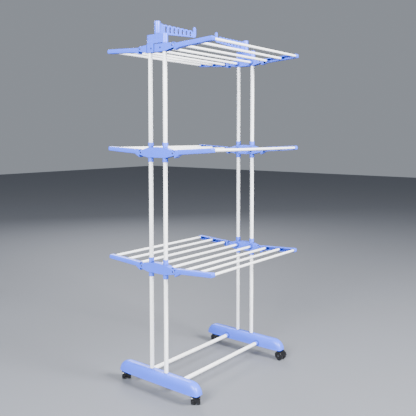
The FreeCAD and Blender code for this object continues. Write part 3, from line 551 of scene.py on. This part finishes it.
class RACK_OT_tubes(bpy.types.Operator):
    """Uprights and base bars: drawn steel tube with rolled ends"""

    bl_idname = "rack.tubes"
    bl_label = "Uprights and base bars"

    def execute(self, context):
        wall = sizes().tube_wall
        for side in SIDES:
            for tier in TIERS:
                node = "uprights_%s_%s" % (tier, side)
                low, high, middle = span(node)
                pair = Surface()
                for y in (-UPRIGHT_Y, UPRIGHT_Y):
                    pair.lathe(tube_profile(high[2] - low[2], TUBE_RADIUS, wall),
                               (middle[0], y, low[2]), (0, 0, 1), 56)
                make_piece("upright_tubes_%s_%s" % (tier, side), pair, finish("paint"),
                           "root", [node])
        for wing in WINGS:
            node = "base_bar_" + wing
            low, high, middle = span(node)
            bar = Surface().lathe(tube_profile(high[0] - low[0], TUBE_RADIUS, wall),
                                  (low[0], middle[1], middle[2]), (1, 0, 0), 56)
            make_piece("base_tube_" + wing, bar, finish("paint"), "root", [node])
        return {"FINISHED"}


class RACK_OT_rails(bpy.types.Operator):
    """Drying rails: thin coated tubes with rolled ends"""

    bl_idname = "rack.rails"
    bl_label = "Drying rails"

    def execute(self, context):
        wall = sizes().tube_wall
        for tier in TIERS:
            nodes = {"centre_rails_" + tier: ("root", 2)}
            for wing in WINGS:
                nodes["rails_%s_%s" % (tier, wing)] = ("wing_%s_%s" % (tier, wing), 3)
            for node, (body, count) in nodes.items():
                low, high = span(node)[:2]
                near, far = low + RAIL_RADIUS, high - RAIL_RADIUS
                # The rails of a front wing rise towards the front.
                heights = (far[2], near[2]) if node.endswith("front") else (near[2], far[2])
                rails = Surface()
                for step in np.linspace(0, 1, count):
                    spot = (low[0], near[1] + step * (far[1] - near[1]),
                            heights[0] + step * (heights[1] - heights[0]))
                    rails.lathe(tube_profile(high[0] - low[0], RAIL_RADIUS, wall),
                                spot, (1, 0, 0), 40)
                make_piece(node.replace("rails", "rail_tubes"), rails, finish("paint"),
                           body, [node])
        return {"FINISHED"}


def foot_shell(surface, x_middle, low, high, wall, lip):
    """A domed shell, open below.

    Rows run along the foot, columns over its section. At a share t of the half length the
    half width is (1 - t^6)^(1/6) of the full one, and the height follows a quarter circle
    of the nose radius down to each end; a section is the upper half of a superellipse of
    power 3. The inner skin is the same shape, smaller by the wall.
    """
    half_length, half_width = (high[1] - low[1]) / 2, FOOT_HALF_WIDTH
    height = high[2] - low[2]
    share = np.sin(np.linspace(-1, 1, 97) * math.pi / 2)
    turn = np.linspace(0, math.pi, 41)
    power = 2 / 3
    nose = 0.049
    lip_height = 0.003
    skins = []
    for inset in (0, wall):
        flat = np.abs(share)
        width = (half_width - inset) * (1 - flat ** 6) ** (1 / 6)
        past = np.clip((flat - 1) * half_length + nose, 0, nose)
        rise = height - inset - nose + np.sqrt(nose ** 2 - past ** 2)
        x = np.sign(np.cos(turn)) * np.abs(np.cos(turn)) ** power * width[:, None]
        z = np.abs(np.sin(turn)) ** power * rise[:, None]
        y = np.repeat((half_length - inset) * share[:, None], len(turn), axis=1)
        if not inset:
            # The lowest millimetres flare out into a lip, save at the very ends.
            inside_ends = (flat < 0.999)[:, None]
            flare = lip * np.clip(1 - z / lip_height, 0, 1) * inside_ends
            x = x + np.sign(x) * flare
        skins.append(np.stack([x, y, z], axis=-1))
    outer, inner = skins
    loop = np.concatenate([outer, inner[:, ::-1]], axis=1)
    loop += np.array([x_middle, 0, low[2]])
    surface.grid(loop, wrap_columns=True)


class RACK_OT_feet(bpy.types.Operator):
    """Feet: domed moulded shells with collars for the tubes"""

    bl_idname = "rack.feet"
    bl_label = "Feet"

    def execute(self, context):
        setting = sizes()
        for side, sign in SIDES.items():
            node = "foot_" + side
            low, high = span(node)[:2]
            x_middle = FRAME_X * sign
            foot = Surface()
            foot_shell(foot, x_middle, low, high, setting.foot_wall, setting.foot_lip)
            # Sockets: a ring stands just proud of the dome round each upright.
            bore = TUBE_RADIUS + FIT
            depth, proud, ring = 0.045, 0.0008, 0.0022
            socket = [(-depth, bore + ring), (-depth, bore), (0.0002, bore),
                      (proud, bore + 0.0004), (proud, bore + 0.0016), (0.0001, bore + ring)]
            for y in (-UPRIGHT_Y, UPRIGHT_Y):
                foot.lathe(socket, (x_middle, y, FOOT_TOP), (0, 0, 1), 48)
            # Collars round the base bars stand out of the foot's inner side; bosses
            # inside the foot hold the casters' stems.
            end = abs((low[0] if sign > 0 else high[0]) - x_middle)
            start, rim, outer_edge, inner_edge = 0.012, bore + 0.0024, 0.0008, 0.0004
            collar = np.concatenate([
                [(start, bore), (start, rim)],
                arc((end - outer_edge, rim - outer_edge), outer_edge, 90, 0, 5),
                arc((end - inner_edge, bore + inner_edge), inner_edge, 0, -90, 4)])
            stem_bore, boss_top = 0.0042, 0.030
            boss = [(0, stem_bore), (0, 0.0078), (0.0006, 0.0085), (boss_top, 0.0088),
                    (boss_top, stem_bore)]
            for wing in WINGS:
                bar = span("base_bar_" + wing)[2]
                foot.lathe(collar, (x_middle, bar[1], bar[2]), (-sign, 0, 0), 48)
                stem = JOINTS["caster_%s_%s_swivel" % (side, wing)]["pos_m"]
                foot.lathe(boss, (stem[0], stem[1], low[2]), (0, 0, 1), 32)
            make_piece("foot_shell_" + side, foot, finish("plastic"), "root", [node])
        return {"FINISHED"}


def arm_section(half, bottom, top, web, wall):
    """Closed section of an arm as (inward, up) points: creased outside, open channel inside."""
    outer_edge, inner_edge = 0.0022, 0.0006
    lower_lean, upper_lean = 0.0007, 0.0016
    crease_share, crease_half = 0.56, 0.0004
    crease = bottom + (top - bottom) * crease_share
    return np.concatenate([
        arc((-half + outer_edge + lower_lean, bottom + outer_edge), outer_edge, 270, 180, 5),
        [(-half, crease - crease_half), (-half, crease + crease_half)],
        arc((-half + outer_edge + upper_lean, top - outer_edge), outer_edge, 172, 90, 5),
        arc((half - inner_edge, top - inner_edge), inner_edge, 90, 0, 3),
        [(half, top - wall), (web, top - wall), (web, bottom + wall), (half, bottom + wall)],
        arc((half - inner_edge, bottom + inner_edge), inner_edge, 0, -90, 3)])


def root_lean(height):
    """How far an arm's root face stands off upright, at heights above the pin.

    It leans out above the pin and runs back under the hub's corner below it.
    """
    corner, upper_slope, lower_slope, gap = -0.0097, 0.21, 0.27, 0.0006
    under = np.where(height < corner, (height - corner) * lower_slope, 0)
    return np.where(height > 0, height * upper_slope + gap, under)


class RACK_OT_arms(bpy.types.Operator):
    """Wing arms: creased outside, channelled inside, with a heel and a hinge tongue"""

    bl_idname = "rack.arms"
    bl_label = "Wing arms"

    def execute(self, context):
        for tier in TIERS:
            for wing in WINGS:
                for side in SIDES:
                    self.make_arm(tier, wing, side)
        return {"FINISHED"}

    def make_arm(self, tier, wing, side):
        setting = sizes()
        body = "wing_%s_%s" % (tier, wing)
        node = "arm_%s_%s_%s" % (tier, wing, side)
        hinge = np.array(JOINTS[body + "_fold"]["pos_m"])
        low, high, middle = span(node)
        half = (high[0] - low[0]) / 2
        rails_low, rails_high, rails = span("rails_%s_%s" % (tier, wing))
        run = rails_high[1] - rails_low[1] - 2 * RAIL_RADIUS
        climb = rails_high[2] - rails_low[2] - 2 * RAIL_RADIUS
        tilt = math.atan2(climb, run)
        lift = span("centre_rails_" + tier)[2][2] - hinge[2]
        sign = WINGS[wing]
        origin = np.array([middle[0], hinge[1], hinge[2]])
        outward = np.array([0, sign * math.cos(tilt), math.sin(tilt)])
        up = np.array([0, -sign * math.sin(tilt), math.cos(tilt)])
        inward = np.array([-SIDES[side], 0, 0])
        middle_rail = (abs(rails[1] - hinge[1]) + lift * math.sin(tilt)) / math.cos(tilt)
        pitch = math.hypot(run, climb) / 2
        tip = middle_rail + pitch
        nose = tip + setting.arm_tip * 0.8

        # Stations along the arm, each with how deep the channel's floor lies there.
        root, flat, channel, heel_end = 0.0107, 0.0137, 0.0245, 0.0387
        skin = -half + setting.arm_skin
        closed = half - 0.0003
        rounding, lean_run = 0.004, 0.016
        round_start = nose - rounding
        stations = [(root, closed), (flat, closed), (channel - 0.0002, closed)]
        stations += [(spot, skin) for spot in (channel, 0.031, heel_end, 0.09, tip * 0.6,
                                               tip - 0.006, tip + 0.001, round_start)]
        stations += [(round_start + rounding * math.sin(angle), closed)
                     for angle in np.radians((30, 60, 82))]
        rows = []
        for spot, web in stations:
            share = np.clip((spot - root) / (tip - root), 0, 1)
            reach = setting.arm_root + (setting.arm_tip - setting.arm_root) * share
            past = max(0.0, spot - round_start)
            inset = rounding - math.sqrt(max(0.0, rounding ** 2 - past ** 2))
            top = lift + reach - inset
            bottom = lift - reach + inset
            heel = np.clip((heel_end - spot) / (heel_end - flat), 0, 1)
            bottom += (-setting.heel_drop - bottom) * heel
            section = arm_section(half, bottom, top, web, setting.arm_skin)
            height = section[:, 1]
            along = spot + root_lean(height) * max(0.0, 1 - (spot - root) / lean_run)
            rows.append(origin + section[:, :1] * inward + along[:, None] * outward
                        + height[:, None] * up)
        arm = Surface().grid(np.array(rows), wrap_columns=True, caps=True)

        # A ring round each rail's end, inside the channel.
        bore = RAIL_RADIUS + FIT
        ring_wall, ring_edge = 0.003, 0.0006
        back, front = skin - 0.0005, half - 0.0012
        ring = np.concatenate([
            [(back, bore), (back, bore + ring_wall)],
            arc((front - ring_edge, bore + ring_wall - ring_edge), ring_edge, 90, 0, 3),
            [(front, bore)]])
        for number in range(-1, 2):
            centre = origin + (middle_rail + pitch * number) * outward + lift * up
            arm.lathe(ring, centre, inward, 36)

        # The tongue: a round eye between the hub's cheeks and a bar back to the arm.
        thick, eye, eye_edge = half - 0.003, 0.0138, 0.0005
        profile = np.concatenate([
            [(-thick, PIN_RADIUS + FIT)],
            arc((-thick + eye_edge, eye - eye_edge), eye_edge, 180, 90, 3),
            arc((thick - eye_edge, eye - eye_edge), eye_edge, 90, 0, 3),
            [(thick, PIN_RADIUS + FIT)]])
        arm.lathe(profile, origin, inward, 48)
        bar_start, bar_end = 0.004, channel + 0.0005
        near_half, far_half = 0.0102, 0.0092
        bar = [(bar_start, -near_half), (bar_end, lift - far_half),
               (bar_end, lift + far_half), (bar_start, near_half)]
        arm.prism(bar, (-thick, thick), origin, inward, outward, up)
        make_piece("wing_arm_%s_%s_%s" % (tier, wing, side), arm, finish("plastic"), body,
                   [node], 28)


def soften(node, width):
    """Round a carried-over moulding's sharp edges with a Bevel modifier."""
    bevel = frame["nodes"][node].modifiers.new("soft_edges", "BEVEL")
    bevel.width = width
    bevel.segments = 2
    bevel.limit_method = "ANGLE"
    bevel.angle_limit = math.radians(50)


class RACK_OT_mouldings(bpy.types.Operator):
    """Hubs and caps: the frame's own mouldings, edges softened"""

    bl_idname = "rack.mouldings"
    bl_label = "Hubs and caps"

    def execute(self, context):
        width = sizes().edge_round
        for side in SIDES:
            nodes = ["hub_%s_%s" % (tier, side) for tier in TIERS]
            for node in nodes + ["cap_" + side]:
                refinish(node, "plastic")
                soften(node, width)
        return {"FINISHED"}


class RACK_OT_hanger_arms(bpy.types.Operator):
    """Hanger arms: a round knuckle, seven arched loops and an upturned finger"""

    bl_idname = "rack.hanger_arms"
    bl_label = "Hanger arms"

    def execute(self, context):
        for side in SIDES:
            self.make_arm(side)
        return {"FINISHED"}

    def make_arm(self, side):
        node = "hanger_arm_" + side
        low, high = span(node)[:2]
        sign = SIDES[side]
        seat = 0.0004
        origin = np.array([FRAME_X * sign, 0, low[2] - seat])
        along = np.array([-sign, 0, 0])
        across = np.array([0, 1.0, 0])
        up = np.array([0, 0, 1.0])
        thick, edge = 0.0062, 0.001
        first, pitch, count = 0.054, 0.0286, 7
        crest, valley = 0.050, 0.0435
        last = first + pitch * (count - 1)

        def belly(x):
            """Height of the arm's lower edge, which climbs from loop to loop."""
            start_height, climb = 0.0065, 0.011
            return start_height + (x - first) / (last - first) * climb

        # Seven loops: a slot with round ends inside an arch; neighbours just overlap.
        arm = Surface()
        half_slot, slot_top, slot_floor, slot_climb = 0.0065, 0.037, 0.0205, 0.0012
        half_loop = pitch / 2 + 0.0002
        rise = np.linspace(0, 1, 6)[:-1, None]
        bow = np.linspace(math.pi, 0, 14)[:-1, None]
        dip = np.linspace(0, -math.pi, 10)[:-1, None]
        level = 0 * rise
        for number in range(count):
            x = first + pitch * number
            floor = slot_floor + slot_climb * number
            inner = np.concatenate([
                np.hstack([x - half_slot + level, floor + rise * (slot_top - floor)]),
                np.hstack([x + half_slot * np.cos(bow), slot_top + half_slot * np.sin(bow)]),
                np.hstack([x + half_slot + level, slot_top + rise * (floor - slot_top)]),
                np.hstack([x + half_slot * np.cos(dip), floor + half_slot * np.sin(dip)])])
            left, right = x - half_loop, x + half_loop
            under = np.linspace(right, left, 10)[:-1, None]
            outer = np.concatenate([
                np.hstack([left + level, belly(left) + rise * (valley - belly(left))]),
                np.hstack([x + half_loop * np.cos(bow),
                           valley + (crest - valley) * np.sin(bow)]),
                np.hstack([right + level, valley + rise * (belly(right) - valley)]),
                np.hstack([under, belly(under)])])
            arm.loop(outer, inner, thick, edge, origin, along, across, up)

        # The neck, from inside the knuckle to the first loop.
        start, end = first - pitch / 2, last + pitch / 2
        neck_root = 0.009
        neck = [(neck_root, 0.0032), (start, belly(start)), (start, valley + 0.002),
                (start - 0.003, crest - 0.0005), (start - 0.008, crest + 0.001),
                (neck_root, 0.0545)]
        arm.plate(neck, thick, edge, origin, along, across, up)

        # The hook: a rounded corner, the upturned finger and its inner curve.
        far = abs((low[0] if sign > 0 else high[0]) - origin[0])
        top = high[2] - origin[2] - 0.002
        blunt, corner, inside = 0.0085, 0.014, 0.004
        hook_start = end - 0.0004
        hook = np.concatenate([
            [(hook_start, belly(end))],
            arc((far - corner, belly(end) + corner), corner, 270, 360, 8),
            arc((far - blunt, top - blunt), blunt, 0, 180, 13),
            arc((far - blunt * 2 - inside, valley + inside), inside, 360, 270, 5),
            [(hook_start, valley)]])
        arm.plate(hook, thick, edge, origin, along, across, up)

        # The knuckle, hollow for the spigot and sunk at the top for the bolt's head.
        height, radius, rim, foot_rim = seat + 0.058, 0.0135, 0.0012, 0.0006
        bore, socket_top, bolt_bore = 0.0075, 0.0446, 0.0022
        sink, sink_depth = 0.0042, 0.004
        knuckle = np.concatenate([
            [(seat, bore)],
            arc((seat + foot_rim, radius - foot_rim), foot_rim, 180, 90, 4),
            arc((height - rim, radius - rim), rim, 90, 0, 6),
            [(height, sink + 0.0004), (height - 0.0004, sink), (height - sink_depth, sink),
             (height - sink_depth, bolt_bore), (socket_top, bolt_bore), (socket_top, bore)]])
        arm.lathe(knuckle, origin, up, 56)
        make_piece("slotted_arm_" + side, arm, finish("plastic"), "hanger_" + side, [node])


def domed_pin(surface, origin, axis, half_length, radius, head, rise):
    """A shank with a domed head on both ends.

    A head's point at angle a lies rise * cos a past the shank and head * sin a off the axis.
    """
    turn = np.radians(np.linspace(0, 90, 7))
    out = half_length + rise * np.cos(turn)
    off = np.maximum(1e-5, head * np.sin(turn))
    profile = np.concatenate([
        np.stack([-out, off], axis=1), [(-half_length, radius), (half_length, radius)],
        np.stack([out, off], axis=1)[::-1]])
    surface.lathe(profile, origin, axis, 28, closed=False)


class RACK_OT_hardware(bpy.types.Operator):
    """Hinge pins, cap screws, hanger bolts and caster stems"""

    bl_idname = "rack.hardware"
    bl_label = "Hardware"

    def execute(self, context):
        # A hub stands half a millimetre out past the arms on each side.
        arm_inset = 0.0005
        hub_half = span("arm_lower_front_right")[1][0] - FRAME_X + arm_inset
        pins = Surface()
        for tier in TIERS:
            for wing in WINGS:
                spot = JOINTS["wing_%s_%s_fold" % (tier, wing)]["pos_m"]
                for sign in SIDES.values():
                    domed_pin(pins, (FRAME_X * sign, spot[1], spot[2]), (1, 0, 0),
                              hub_half, PIN_RADIUS, head=0.0043, rise=0.0011)
        make_piece("domed_hinge_pins", pins, finish("zinc"), "root", ["hinge_pins"])
        for node in ("cap_screws", "hanger_bolts", "caster_stems"):
            refinish(node, "zinc")
        return {"FINISHED"}


class RACK_OT_casters(bpy.types.Operator):
    """Twin-wheel casters: turned wheels, axle, and a hood over a solid core"""

    bl_idname = "rack.casters"
    bl_label = "Casters"

    def execute(self, context):
        for side in SIDES:
            for wing in WINGS:
                self.make_caster("%s_%s" % (side, wing))
        return {"FINISHED"}

    def make_caster(self, name):
        swivel = np.array(JOINTS["caster_%s_swivel" % name]["pos_m"])
        roll = JOINTS["wheels_%s_roll" % name]
        axle, across = np.array(roll["pos_m"]), np.array(roll["axis"], float)
        behind = axle - swivel
        behind[2] = 0
        trail = np.linalg.norm(behind)
        behind /= trail
        rim = axle[2] - FLOOR
        up = np.array([0, 0, 1.0])

        # One wheel's profile: tread with rounded shoulders, ring, dish and hub.
        near, far = 0.006, 0.0215
        bore, edge, shoulder = PIN_RADIUS, 0.0012, sizes().tread_round
        wheel = np.concatenate([
            [(near, bore), (near, rim - edge)],
            arc((near + edge, rim - edge), edge, 180, 90, 4),
            arc((far - shoulder, rim - shoulder), shoulder, 90, 0, 7),
            [(far - 0.0001, rim - 0.0052), (far - 0.0014, rim - 0.0066)],
            [(far - 0.0021, 0.0085), (far - 0.0009, 0.0075)],
            arc((far - 0.0009, 0.0066), 0.0007, 60, 0, 3), [(far - 0.0001, bore)]])
        wheels = Surface()
        wheels.lathe(wheel, axle, across, 72)
        wheels.lathe(wheel, axle, -across, 72)
        make_piece("turned_wheels_" + name, wheels, finish("tread"), "wheels_" + name,
                   ["caster_wheels_" + name])
        rod = Surface()
        domed_pin(rod, axle, across, far, bore - FIT, head=0.0028, rise=0.0004)
        make_piece("axle_rod_" + name, rod, finish("zinc"), "wheels_" + name,
                   ["caster_axle_" + name])

        # The hood: a band turned about the axle, from just above it at both ends.
        hood = Surface()
        half, outer, inner = 0.0205, 0.0255, 0.0237
        band = np.concatenate([
            arc((-half + edge, outer - edge), edge, 180, 90, 4),
            arc((half - edge, outer - edge), edge, 90, 0, 4), [(half, inner), (-half, inner)]])
        turn = np.radians(np.linspace(8, 172, 41))
        spokes = np.cos(turn)[:, None] * behind + np.sin(turn)[:, None] * up
        points = (axle + band[None, :, :1] * across
                  + band[None, :, 1:] * spokes[:, None, :])
        hood.grid(points, wrap_columns=True, caps=True)

        # The core between the wheels, from the stem round below the axle to the hood.
        stem_side, hood_top, play = -trail - 0.0056, 0.0262, 0.0004
        core = np.concatenate([
            [(stem_side, 0.004), (-0.012, -0.0145), (-0.004, -0.0175), (0.006, -0.0165),
             (0.013, -0.010)],
            arc((0, 0), 0.0243, 15, 90, 7), [(-trail * 0.6, hood_top), (stem_side, hood_top)]])
        hood.prism(core, (-near + play, near - play), axle, across, behind, up)
        make_piece("hood_" + name, hood, finish("nylon"), "caster_" + name,
                   ["caster_hood_" + name], 30)


class RACK_PT_panel(bpy.types.Panel):
    """Settings and build steps in the 3D view's sidebar"""

    bl_label = "Drying Rack"
    bl_idname = "RACK_PT_panel"
    bl_space_type = "VIEW_3D"
    bl_region_type = "UI"
    bl_category = "Drying Rack"

    def draw(self, context):
        for group in (context.scene.rack_sizes, context.scene.rack_colours):
            box = self.layout.box()
            for name in group.bl_rna.properties.keys():
                if name not in ("rna_type", "name"):
                    box.prop(group, name)
        for step in STEPS:
            self.layout.operator("rack." + step)


CLASSES = (RackSizes, RackColours, RACK_OT_stage, RACK_OT_tubes, RACK_OT_rails,
           RACK_OT_feet, RACK_OT_arms, RACK_OT_mouldings, RACK_OT_hanger_arms,
           RACK_OT_hardware, RACK_OT_casters, RACK_PT_panel)
STEPS = ("stage", "tubes", "rails", "feet", "arms", "mouldings", "hanger_arms",
         "hardware", "casters")


def register():
    for item in CLASSES:
        bpy.utils.register_class(item)
    bpy.types.Scene.rack_sizes = bpy.props.PointerProperty(type=RackSizes)
    bpy.types.Scene.rack_colours = bpy.props.PointerProperty(type=RackColours)


def unregister():
    del bpy.types.Scene.rack_colours
    del bpy.types.Scene.rack_sizes
    for item in reversed(CLASSES):
        bpy.utils.unregister_class(item)


def main():
    register()
    for step in STEPS:
        getattr(bpy.ops.rack, step)()


if __name__ == "__main__":
    main()
